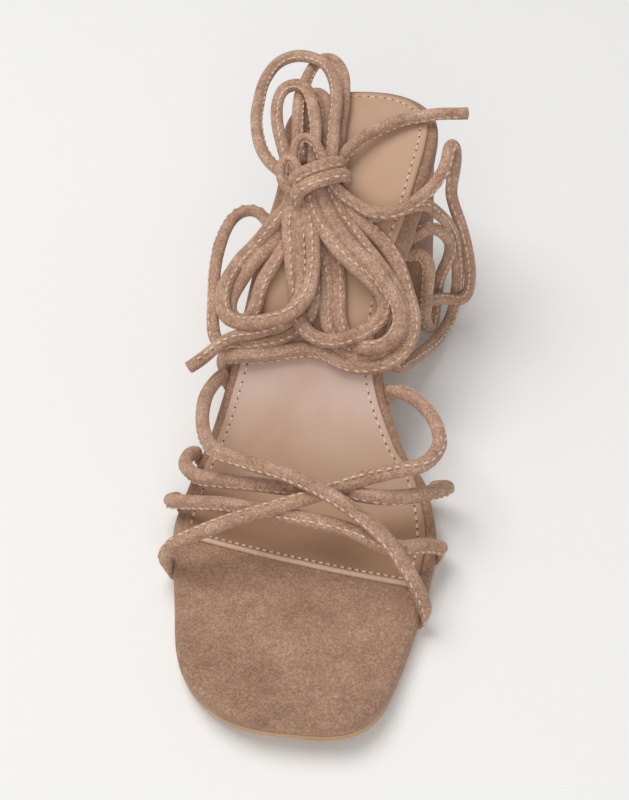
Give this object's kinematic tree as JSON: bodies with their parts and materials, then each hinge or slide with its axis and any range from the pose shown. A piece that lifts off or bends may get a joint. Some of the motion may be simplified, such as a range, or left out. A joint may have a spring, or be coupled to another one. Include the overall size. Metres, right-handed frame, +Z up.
{
  "type": "high-heeled sandal",
  "caption": "Square-toed right sandal with a block heel, crossed cord straps over the forefoot and long cord ties knotted on the insole.",
  "frame": {"origin": "centre of the heel's bottom face, on the floor", "axes": "+X to the inner side of this right shoe, +Y to the back of the heel with the toe toward -Y, +Z up"},
  "size_m": [0.0977, 0.2417, 0.0877],
  "materials": {
    "suede_wrap": "matte faux suede, blush brown",
    "cord_suede": "matte stitched faux-suede cord, blush",
    "smooth_sock": "smooth synthetic leather, soft sheen",
    "tan_outsole": "matte tan unit sole",
    "heel_tip": "matte brown top piece"
  },
  "bodies": {
    "root": {"footbed": "suede_wrap", "outsole": "tan_outsole", "insole_sock": "smooth_sock", "heel_block": "suede_wrap", "heel_tip": "heel_tip", "upper_straps": "cord_suede", "tie_knot": "cord_suede", "tie_loops_front": "cord_suede", "tie_loops_back": "cord_suede", "tie_loops_side": "cord_suede", "tie_inner": "cord_suede", "tie_inner_loop": "cord_suede", "tie_inner_end": "cord_suede", "tie_arch_loop": "cord_suede", "tie_outer_arc": "cord_suede", "tie_outer": "cord_suede", "tie_outer_end": "cord_suede"}
  },
  "joints": []
}
